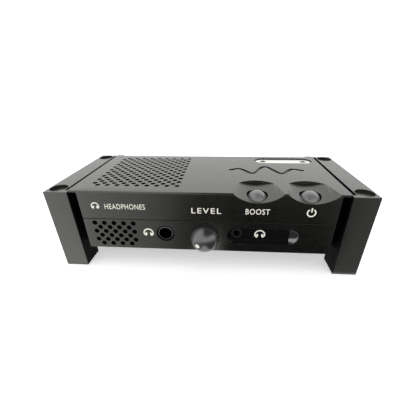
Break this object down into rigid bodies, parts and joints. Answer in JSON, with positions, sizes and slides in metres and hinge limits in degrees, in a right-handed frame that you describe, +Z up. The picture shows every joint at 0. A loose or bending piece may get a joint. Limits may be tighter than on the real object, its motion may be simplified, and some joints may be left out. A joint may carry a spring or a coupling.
{
  "type": "headphone amplifier",
  "caption": "Desktop headphone amplifier: flat metal casing between two end cheeks that stand on feet, with a turning ball knob, ball push buttons, front headphone sockets and rear sockets.",
  "frame": {"origin": "on the table under the middle of the object's box", "axes": "+X to the right of someone facing the front, -Y out of the front face, +Z up"},
  "size_m": [0.16, 0.0724, 0.0463],
  "materials": {
    "anodised_black": "bead-blasted, black anodised, satin",
    "polished_black": "polished, black anodised",
    "nickel": "satin nickel plate",
    "steel": "plain",
    "black_steel": "black oxide",
    "bare_aluminium": "natural, matte",
    "gold_plate": "gold plated, bright",
    "rubber": "matte",
    "black_plastic": "moulded, satin",
    "red_plastic": "moulded",
    "frosted_ball": "smoke grey, polished",
    "clear_plastic": "clear",
    "white_plastic": "gloss",
    "circuit_board": "solder mask, green",
    "capacitor_sleeve": "printed sleeve, plain",
    "label_ink": "screen-printed marks on the casing"
  },
  "bodies": {
    "chassis": {"top_cover": "anodised_black", "bottom_case": "anodised_black", "rear_panel": "anodised_black", "left_cheek": "anodised_black", "right_cheek": "anodised_black", "front_left_foot_pad": "rubber", "rear_left_foot_pad": "rubber", "front_right_foot_pad": "rubber", "rear_right_foot_pad": "rubber", "case_screw_front_left": "black_steel", "case_screw_rear_left": "black_steel", "case_screw_front_right": "black_steel", "case_screw_rear_right": "black_steel", "cheek_screw_front_left": "steel", "cheek_screw_rear_left": "steel", "cheek_screw_front_right": "steel", "cheek_screw_rear_right": "steel", "board_screw_front_left": "steel", "board_screw_rear_left": "steel", "board_screw_front_right": "steel", "board_screw_rear_right": "steel", "badge_plate": "nickel", "badge_screw_1": "black_steel", "badge_screw_2": "black_steel", "volume_potentiometer": "bare_aluminium", "potentiometer_nut": "nickel", "gain_switch": "black_plastic", "gain_light": "white_plastic", "power_switch": "black_plastic", "power_light": "white_plastic", "switch_board": "circuit_board", "switch_board_screw_1": "steel", "switch_board_screw_2": "steel", "large_headphone_socket": "black_plastic", "small_headphone_socket": "black_plastic", "main_board": "circuit_board", "supply_capacitor_1": "capacitor_sleeve", "supply_capacitor_2": "capacitor_sleeve", "supply_capacitor_3": "capacitor_sleeve", "input_relay": "black_plastic", "heat_sink": "bare_aluminium", "output_transistor_1": "black_plastic", "output_transistor_2": "black_plastic", "phono_input_left": "gold_plate", "phono_input_right": "gold_plate", "phono_output_left": "gold_plate", "phono_output_right": "gold_plate", "speaker_left_plus": "red_plastic", "speaker_left_minus": "black_plastic", "speaker_right_plus": "red_plastic", "speaker_right_minus": "black_plastic", "power_socket": "black_plastic"},
    "volume": {"volume_knob": "polished_black", "volume_shaft": "steel", "knob_grub_screw": "black_steel"},
    "gain_button": {"gain_button": "frosted_ball", "gain_plunger": "clear_plastic"},
    "power_button": {"power_button": "frosted_ball", "power_plunger": "clear_plastic"}
  },
  "joints": [
    {"name": "volume_turn", "type": "hinge", "parent": "chassis", "child": "volume", "pos_m": [-0.0005, -0.02985, 0.0206], "axis": [0, 1, 0], "range_deg": [-33, 247]},
    {"name": "gain_press", "type": "slide", "parent": "chassis", "child": "gain_button", "axis": [0, 0, -1], "range_m": [0, 0.0008], "stiffness_N_per_m": 2000},
    {"name": "power_press", "type": "slide", "parent": "chassis", "child": "power_button", "axis": [0, 0, -1], "range_m": [0, 0.0008], "stiffness_N_per_m": 2000}
  ]
}
